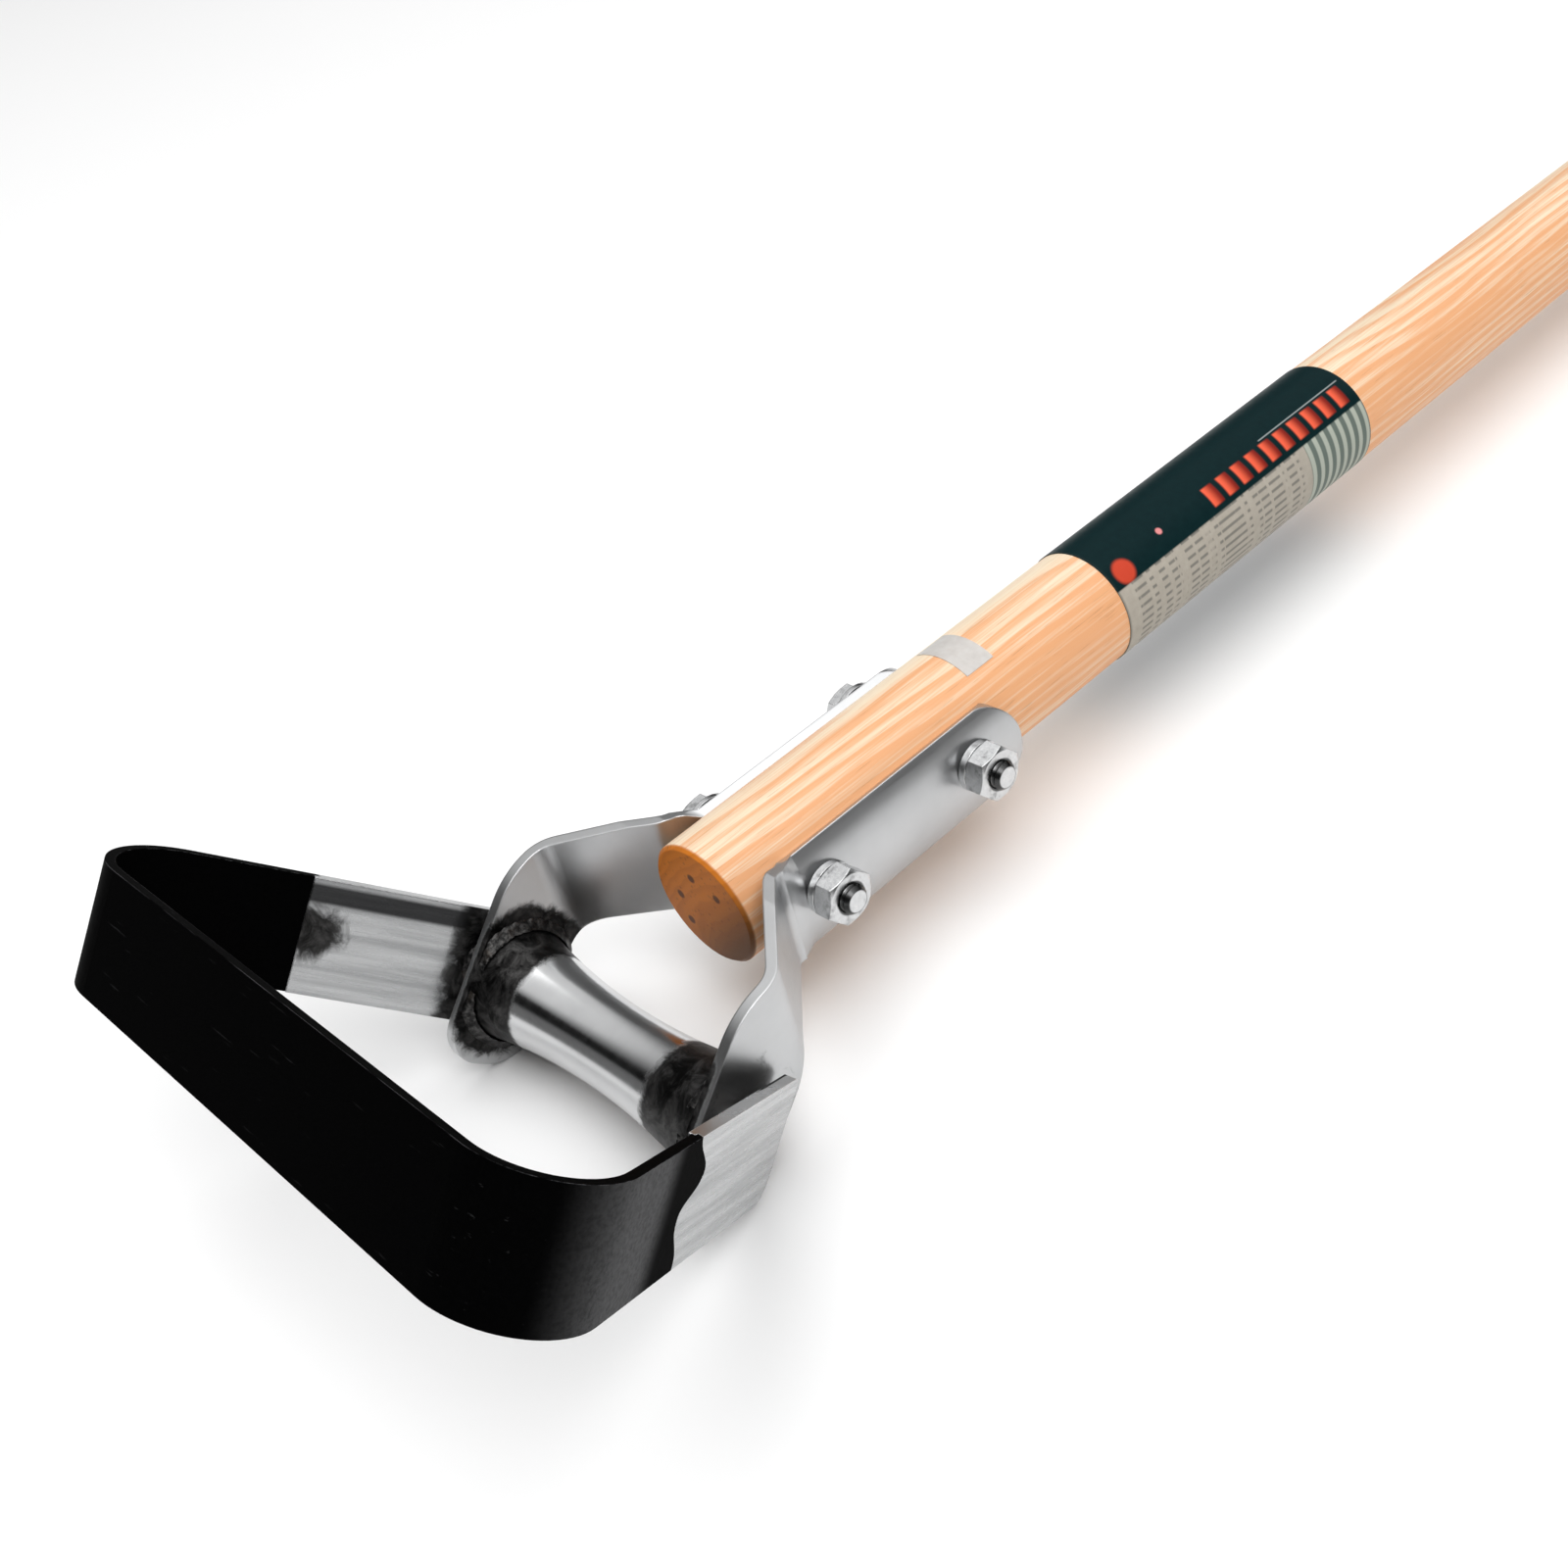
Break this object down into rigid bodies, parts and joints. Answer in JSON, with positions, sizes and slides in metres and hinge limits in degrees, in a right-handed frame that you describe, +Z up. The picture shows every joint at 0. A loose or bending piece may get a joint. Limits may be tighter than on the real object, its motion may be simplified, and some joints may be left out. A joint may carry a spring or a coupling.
{
  "type": "grub hoe",
  "caption": "Long-handled loop hoe: a sharpened steel stirrup that rocks on an axle between two folded straps bolted to a wooden handle.",
  "frame": {"origin": "floor level, under the centre of the tool's bounding box, as it lies on the rear toes of its two straps and the far end of the handle", "axes": "+X from the blade to the grip end of the handle, +Z up, Y across the tool, with the tool symmetric about the XZ plane apart from its fasteners, label and sticker"},
  "size_m": [1.4729, 0.1484, 0.0801],
  "materials": {
    "ash_wood": "clear lacquer over pale straight-grained hardwood",
    "printed_label": "printed shrink film, satin",
    "clear_sticker": "pale translucent film",
    "zinc_strap": "bright zinc plate, burnt dull beside the welds",
    "zinc_tube": "bright zinc plate, turned",
    "weld": "dark heat-tinted weld metal",
    "axle_steel": "plain drawn steel",
    "hanger_steel": "bright zinc plate, lengthwise brushed",
    "black_blade": "satin black, ground lighter along the bevel",
    "zinc_fastener": "bright zinc plate"
  },
  "bodies": {
    "yoke": {"handle": "ash_wood", "label_sleeve": "printed_label", "price_sticker": "clear_sticker", "yoke_plate_left": "zinc_strap", "yoke_plate_right": "zinc_strap", "cross_sleeve": "zinc_tube", "sleeve_weld_left": "weld", "sleeve_weld_right": "weld", "bolt_front": "zinc_fastener", "bolt_rear": "zinc_fastener", "nut_front": "zinc_fastener", "nut_rear": "zinc_fastener", "lock_washer_front": "zinc_fastener", "lock_washer_rear": "zinc_fastener", "flat_washer_front": "zinc_fastener", "flat_washer_rear": "zinc_fastener"},
    "stirrup": {"axle_rod": "axle_steel", "axle_weld_left": "weld", "axle_weld_right": "weld", "hanger_left": "hanger_steel", "hanger_right": "hanger_steel", "blade": "black_blade"}
  },
  "joints": [
    {"name": "stirrup_swing", "type": "hinge", "parent": "yoke", "child": "stirrup", "pos_m": [-0.66472, 0, 0.01568], "axis": [0, 1, 0], "range_deg": [0, 20]}
  ]
}
